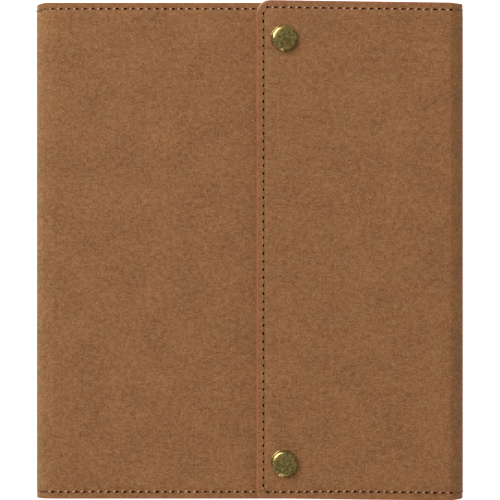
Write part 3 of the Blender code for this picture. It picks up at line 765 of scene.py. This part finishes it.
def makeStitchTree():
    tree, start, end = newGroup("stitchRow", [
        ("Path", "Geometry", None), ("Pitch", "Float", 3.7 * mm), ("Hole Size", "Vector", (1, 1, 1)),
        ("Hole Slant", "Float", 0.2), ("Ply Size", "Vector", (1, 1, 1)), ("Ply Slant", "Float", 0.3),
        ("Near Ply", "Float", 1.3 * mm), ("Far Ply", "Float", 2.5 * mm), ("Seed", "Int", 1),
        ("End Hole", "Bool", False), ("Near Material", "Material", None), ("Far Material", "Material", None),
        ("Hole Material", "Material", None)], [("Stitches", "Geometry")], "GeometryNodeTree")
    curve = fromNode(tree, "GeometryNodeMeshToCurve", {"Mesh": start["Path"]})
    row = fromNode(tree, "GeometryNodeResampleCurve", {"Curve": curve, "Length": start["Pitch"]},
                   mode="LENGTH")
    outward = fromNode(tree, "GeometryNodeInputNamedAttribute", {"Name": "outward"}, data_type="FLOAT_VECTOR")
    tangent = fromNode(tree, "GeometryNodeInputTangent")
    facing = fromNode(tree, "FunctionNodeAxesToRotation", {
        "Primary Axis": outward, "Secondary Axis": tangent}, primary_axis="Z", secondary_axis="X")
    lastOne = fromNode(tree, "GeometryNodeCurveEndpointSelection", {"Start Size": 0, "End Size": 1})
    sewn = fromNode(tree, "FunctionNodeBooleanMath", {0: lastOne}, operation="NOT")
    pierced = fromNode(tree, "FunctionNodeBooleanMath", {0: sewn, 1: start["End Hole"]}, operation="OR")
    unevenness = {"Min": stitchSizes["least"], "Max": stitchSizes["most"], "Seed": start["Seed"]}
    jitter = fromNode(tree, "FunctionNodeRandomValue", unevenness, data_type="FLOAT_VECTOR")

    def turnedShape(shape, size, slant, offset=None):
        sized = fromNode(tree, "GeometryNodeTransform", {"Geometry": shape, "Scale": size})
        placing = {"Geometry": sized, "Rotation": fromNode(tree, "ShaderNodeCombineXYZ", {"Z": slant})}
        if offset is not None:
            placing["Translation"] = fromNode(tree, "ShaderNodeCombineXYZ", {"X": offset})
        return fromNode(tree, "GeometryNodeTransform", placing)

    def roundBall(segments, rings):
        sizes = {"Segments": segments, "Rings": rings, "Radius": 0.5}
        return fromNode(tree, "GeometryNodeMeshUVSphere", sizes)

    # a rounded ply of the thread has its poles along the row before it is slanted
    laid = fromNode(tree, "GeometryNodeTransform", {"Geometry": roundBall(8, 6),
                                                    "Rotation": (0, math.pi / 2, 0)})
    # the near ply gets a lit copy of the thread, the far ply a shaded copy, the hole a black disc of painted
    # shade
    shapes = {
        "Hole": (turnedShape(roundBall(12, 4), start["Hole Size"], start["Hole Slant"]), pierced),
        "Near": (turnedShape(laid, start["Ply Size"], start["Ply Slant"], start["Near Ply"]), sewn),
        "Far": (turnedShape(laid, start["Ply Size"], start["Ply Slant"], start["Far Ply"]), sewn),
    }
    made = []
    for kind, (shape, chosen) in shapes.items():
        smooth = fromNode(tree, "GeometryNodeSetShadeSmooth", {"Geometry": shape})
        marked = fromNode(tree, "GeometryNodeStoreNamedAttribute", {
            "Geometry": smooth, "Name": "part" + kind, "Value": True}, data_type="BOOLEAN", domain="FACE")
        made.append(fromNode(tree, "GeometryNodeInstanceOnPoints", {
            "Points": row, "Instance": marked, "Selection": chosen, "Rotation": facing, "Scale": jitter}))
    joined = tree.nodes.new("GeometryNodeJoinGeometry")
    for socket in made[::-1]:
        tree.links.new(socket, joined.inputs[0])
    ready = fromNode(tree, "GeometryNodeRealizeInstances", {"Geometry": joined.outputs[0]})
    for kind in shapes:
        here = fromNode(tree, "GeometryNodeInputNamedAttribute", {"Name": "part" + kind}, data_type="BOOLEAN")
        ready = fromNode(tree, "GeometryNodeSetMaterial", {
            "Geometry": ready, "Selection": here, "Material": start[kind + " Material"]})
    tree.links.new(ready, end["Stitches"])
    return tree


stitchTree = makeStitchTree()


def sewnPoint(along, y, layer):
    # a place on the dipped face, and the way that the face looks there
    head, tail = halfHeights(along)[:2]
    extra = stitchSizes["tailExtra"] * smoothStep(0.0, -0.5 * halfHeight, y)
    if along > runStarts["flap"]:
        extra *= 1 - stitchSizes["cornerDrift"] * smoothStep(stitchSizes["driftRun"], 0.0, runEnd - along)
    trimmed = y + (head - halfHeight) if y > 0 else y - (tail - halfHeight) + extra
    edge = edgeDistance(along, head - trimmed, tail + trimmed)
    outer, full, rounding = skinDepths(along, edge)
    depth, side = (outer, 1) if layer == "skin" else (full, -1)
    way = onRun(along)[1]
    return sheetPoint(along, trimmed, depth), Vector((side * way[0], 0, side * way[1]))


def sewRow(firstAlong, lastAlong, y, layer):
    # points of a row parallel to the head or the tail
    count = max(8, round(abs(lastAlong - firstAlong) / stitchSizes["rowStep"]))
    return [sewnPoint(firstAlong + (lastAlong - firstAlong) * i / count, y, layer) for i in range(count + 1)]


def sewEdge(along, most, cornerRun, layer):
    # points of a row down a free edge, drawn in round its corners
    row = []
    for i in range(stitchSizes["edgeSteps"] + 1):
        across = most - 2 * most * i / stitchSizes["edgeSteps"]
        drawnIn = roundedCut(most - abs(across), cornerRun)
        row.append(sewnPoint(along - drawnIn, across, layer))
    return row


def stitchPiece(name, rows, look):
    points, outwards, edges = [], [], []
    for row in rows:
        first = len(points)
        for place, way in row:
            points.append(place)
            outwards += list(way)
        edges += [(first + i, first + i + 1) for i in range(len(row) - 1)]
    mesh = bpy.data.meshes.new(name + "_path")
    mesh.from_pydata(points, edges, [])
    mesh.attributes.new("outward", "FLOAT_VECTOR", "POINT").data.foreach_set("vector", outwards)
    path = addObject(name + "_path", mesh)
    modifier = path.modifiers.new("stitches", "NODES")
    modifier.node_group = stitchTree
    rowLength = sum((rows[0][i + 1][0] - rows[0][i][0]).length for i in range(len(rows[0]) - 1))
    stitchCount = max(1, round(rowLength / stitchSizes["pitch"]))
    holeScale = look.get("holeScale", 1.0)
    values = {
        "Pitch": rowLength / (stitchCount + 0.01), "Seed": stitchSizes["seed"],
        "Hole Size": (stitchSizes["holeLength"] * holeScale, stitchSizes["holeWidth"] * holeScale,
                      stitchSizes["holeHeight"]),
        "Hole Slant": math.radians(stitchSizes["holeSlant"]), "End Hole": look.get("endHole", False),
        "Ply Size": (look["length"], look["width"], look.get("height", stitchSizes["plyHeight"])),
        "Ply Slant": math.radians(look["slant"]),
        "Near Ply": stitchSizes["nearPly"], "Far Ply": stitchSizes["farPly"],
        "Near Material": materials[look["near"]], "Far Material": materials[look["far"]],
        # a black disc painted as the shade inside each needle hole
        "Hole Material": materials["hole"],
    }
    for socket in stitchTree.interface.items_tree:
        if socket.in_out == "INPUT" and socket.name in values:
            modifier[socket.identifier] = values[socket.name]
    bpy.context.view_layer.update()
    result = bpy.data.meshes.new_from_object(path.evaluated_get(bpy.context.evaluated_depsgraph_get()))
    bpy.data.objects.remove(path, do_unlink=True)
    result.name = name
    item = addObject(name, result)
    return item


def makeStitches():
    # near ply painted lit and far ply painted in shade: two copies of one thread
    endRow = {"length": stitchSizes["plyLength"], "width": stitchSizes["plyWidth"],
              "slant": stitchSizes["plySlant"], "near": "threadLit", "far": "threadShaded"}
    flapRow = dict(endRow, far="threadDeepShade")
    foldRow = dict(endRow, length=stitchSizes["foldPlyLength"], width=stitchSizes["foldPlyWidth"],
                   height=stitchSizes["foldPlyHeight"], holeScale=stitchSizes["foldHole"], near="threadDeepShade")
    # down the free edges the thread is one dark copy, painted as in shade
    edgeRow = {"length": stitchSizes["edgePlyLength"], "width": stitchSizes["edgePlyWidth"],
               "slant": stitchSizes["edgePlySlant"], "near": "threadEdgeShade", "far": "threadEdgeShade",
               "endHole": True}
    inset, cornerRun = stitchSizes["inset"], stitchSizes["cornerRun"]
    y, flapY = halfHeight - inset, halfHeight - stitchSizes["flapInset"]
    flapLast = runEnd - stitchSizes["flapEdgeInset"]
    # the rows along the head and the tail of each panel
    for name, first, last, across, look, body in (
            ("front", inset, runLengths["front"], y, endRow, "front_cover"),
            ("spine", runStarts["spine"], runStarts["spineFold"], y, endRow, "spine"),
            ("back", runStarts["back"], runStarts["foreFold"], y, endRow, "back_cover"),
            ("fore", runStarts["fore"], runStarts["flapFold"], y, endRow, "fore_edge"),
            ("flap", runStarts["flap"], flapLast - cornerRun, flapY, flapRow, "flap")):
        rows = [sewRow(first, last, side * across, layer) for side in (1, -1) for layer in ("skin", "lining")]
        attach(stitchPiece("stitches_" + name, rows, look), body)
    # the short rows that cross a fold, from one body to the other
    for name, bodies, label, forward in (
            ("frontFold", ("spine", "front_cover"), "spine_front", False),
            ("spineFold", ("back_cover", "spine"), "back_spine", False),
            ("foreFold", ("back_cover", "fore_edge"), "back_fore_edge", True),
            ("flapFold", ("fore_edge", "flap"), "fore_edge_flap", True)):
        first, last = runStarts[name], runStarts[name] + runLengths[name]
        rows = [sewRow(first, last, side * y, "skin") for side in (1, -1)]
        item = stitchPiece("stitches_" + label + "_fold", rows, foldRow)
        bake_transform(item)
    # free edges: down the front cover's edge, and down the flap's with its rounded corners
    for name, body, along, most, corner in (("front_edge", "front_cover", inset, y, 0.0),
                                            ("flap_edge", "flap", flapLast, flapY, cornerRun)):
        rows = [sewEdge(along, most, corner, layer) for layer in ("skin", "lining")]
        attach(stitchPiece("stitches_" + name, rows, edgeRow), body)


makeStitches()
print("stitches sewn")


# Turned metal pieces: the snap fasteners

snapSizes = {
    "steps": 72, "sunk": 0.06 * mm,
    "postRadius": 1.7 * mm,
    # radii and heights in mm: the dome, the rolled rim, and back under to the post
    "dome": [(0.0, 2.80), (0.9, 2.795), (1.8, 2.775), (2.7, 2.74), (3.5, 2.68), (4.1, 2.61), (4.6, 2.52),
             (5.0, 2.41), (5.3, 2.27), (5.55, 2.08), (5.74, 1.82), (5.87, 1.50), (5.93, 1.16), (5.94, 0.84),
             (5.94, 0.66), (5.97, 0.58), (6.05, 0.54), (6.15, 0.50), (6.23, 0.42), (6.26, 0.30), (6.25, 0.15),
             (6.15, 0.05), (5.95, 0.0), (4.4, 0.0), (1.70, 0.0)],
}


def turnedMesh(name, profile, centre, steps):
    # the profile's radii and heights, from the top round to the axis again
    work = bmesh.new()
    rings = []
    for radius, height in profile:
        turns = [math.tau * i / steps for i in range(steps)] if radius > 1e-7 else [0.0]
        rings.append([work.verts.new((centre.x + radius * math.cos(turn), centre.y + radius * math.sin(turn),
                                      centre.z + height)) for turn in turns])
    for upper, lower in zip(rings, rings[1:]):
        for i in range(steps):
            places = ((upper, i), (lower, i), (lower, i + 1), (upper, i + 1))
            corners = [ring[turn % len(ring)] for ring, turn in places]
            work.faces.new(list(dict.fromkeys(corners)))      # three corners where a ring is a pole
    bmesh.ops.recalc_face_normals(work, faces=work.faces)
    softenFaces(work, 48)
    mesh = bpy.data.meshes.new(name)
    work.to_mesh(mesh)
    work.free()
    return mesh


def makeSnapCaps():
    for end in ("head", "tail"):
        low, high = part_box("snap_cap_" + end)
        centre = Vector(((low.x + high.x) / 2, (low.y + high.y) / 2, flapTop - snapSizes["sunk"]))
        tall = (high.z - centre.z) / snapSizes["dome"][0][1]
        profile = [(radius * mm, height * tall) for radius, height in snapSizes["dome"]]
        profile += [(snapSizes["postRadius"], low.z - centre.z), (0.0, low.z - centre.z)]
        mesh = turnedMesh("cap_" + end, profile, centre, snapSizes["steps"])
        mesh.materials.append(materials["brass"])
        cap = addObject("cap_" + end, mesh)
        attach(cap, "flap")
        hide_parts("snap_cap_" + end)


makeSnapCaps()
print("snap caps turned")


# Metal pieces as smooth merged copies of the CAD's, with board and card painted in place

def bodyOfNode(node):
    bodies = frame["record"]["behaviour"]["bodies"]
    return next(body for body, members in bodies.items() if node in members)


def polishedCopy(node, name, metal):
    mesh = frame["nodes"][node].data.copy()
    mesh.name = name
    work = bmesh.new()
    work.from_mesh(mesh)
    bmesh.ops.remove_doubles(work, verts=work.verts, dist=1e-6)
    for face in work.faces:
        face.material_index = 0
    softenFaces(work, 38)
    work.to_mesh(mesh)
    work.free()
    mesh.materials.clear()
    mesh.materials.append(materials[metal])
    item = addObject(name, mesh)
    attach(item, bodyOfNode(node))
    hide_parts(node)


def makeMetalwork():
    for end in ("head", "tail"):
        for part in ("socket", "stud", "eyelet"):
            polishedCopy(f"snap_{part}_{end}", f"{part}_{end}", "brass")
        polishedCopy(f"snap_spring_{end}", f"spring_{end}", "spring")
        polishedCopy(f"rivet_{end}", f"housing_rivet_{end}", "nickel")
        polishedCopy(f"lever_{end}", f"opening_lever_{end}", "nickel")
        polishedCopy(f"lever_pin_{end}", f"hinge_pin_{end}", "nickel")
    polishedCopy("ring_housing", "housing", "nickel")
    for side in ("back", "front"):
        polishedCopy(f"blade_{side}", f"spring_blade_{side}", "nickel")
        for number in (1, 2, 3):
            polishedCopy(f"ring_{number}_{side}", f"half_ring_{number}_{side}", "nickel")


def paintNodes():
    for name, node in frame["nodes"].items():
        finish = "board" if name.endswith("_board") else "leaf" if name.startswith("leaf_") else None
        if finish:
            for slot in node.material_slots:
                slot.link = "OBJECT"
                slot.material = materials[finish]


makeMetalwork()
paintNodes()
print("metalwork and leaves finished")


# Floor, lights and camera

stageSizes = {
    "floorHalf": 3.0, "floorDrop": 0.15 * mm, "floorTint": (0.86, 0.86, 0.86, 1), "floorGlow": 0.85,
    "air": 0.36, "backdrop": 1.0,  # the white all round: as it lights, and as it is seen
    # name, place, size, power
    "lights": (("key", (-1.25, 1.2, 1.5), 1.6, 50.5), ("low", (-0.29, -1.37, 0.40), 0.35, 2.4)),
}
cameraSizes = {"above": 1.3, "aside": 0.24 * mm, "toHead": 0.305 * mm, "sensor": 36.0,
               "viewWidth": 230.8 * mm}                    # at the front cover's face


def makeFloor():
    half, drop = stageSizes["floorHalf"], -stageSizes["floorDrop"]
    mesh = bpy.data.meshes.new("floor")
    mesh.from_pydata([(-half, -half, drop), (half, -half, drop), (half, half, drop), (-half, half, drop)], [],
                     [(0, 1, 2, 3)])
    material, tree, shader = newMaterial("pale_floor", 0.9, specular=0.1)
    shader.inputs["Base Color"].default_value = stageSizes["floorTint"]
    shader.inputs["Emission Color"].default_value = (1, 1, 1, 1)
    shader.inputs["Emission Strength"].default_value = stageSizes["floorGlow"]
    mesh.materials.append(material)
    addObject("floor", mesh)


def makeWorld():
    world = bpy.data.worlds.new("studio")
    world.use_nodes = True
    tree = world.node_tree
    background = tree.nodes["Background"]
    background.inputs["Color"].default_value = (1, 1, 1, 1)
    seen = addNode(tree, "ShaderNodeLightPath").outputs["Is Camera Ray"]
    strength = fromNode(tree, "ShaderNodeMapRange", {"Value": seen, "To Min": stageSizes["air"],
                                                     "To Max": stageSizes["backdrop"]})
    tree.links.new(strength, background.inputs["Strength"])
    bpy.context.scene.world = world


def addLight(name, place, size, power):
    # a square of soft light, aimed at the middle of the back cover
    light = bpy.data.lights.new(name, "AREA")
    light.shape = "SQUARE"
    light.size = size
    light.energy = power
    item = addObject(name, light)
    item.location = place
    item.rotation_euler = (-Vector(place)).to_track_quat("-Z", "Y").to_euler()


def makeCamera():
    camera = bpy.data.cameras.new("camera")
    camera.sensor_width = cameraSizes["sensor"]
    camera.lens = cameraSizes["sensor"] * cameraSizes["above"] / cameraSizes["viewWidth"]
    camera.clip_end = 20.0
    item = addObject("camera", camera)
    item.location = (cameraSizes["aside"], cameraSizes["toHead"], frontTop + cameraSizes["above"])
    bpy.context.scene.camera = item


makeFloor()
makeWorld()
for settings in stageSizes["lights"]:
    addLight(*settings)
makeCamera()
bpy.context.scene.view_settings.view_transform = "Standard"
print("stage set")
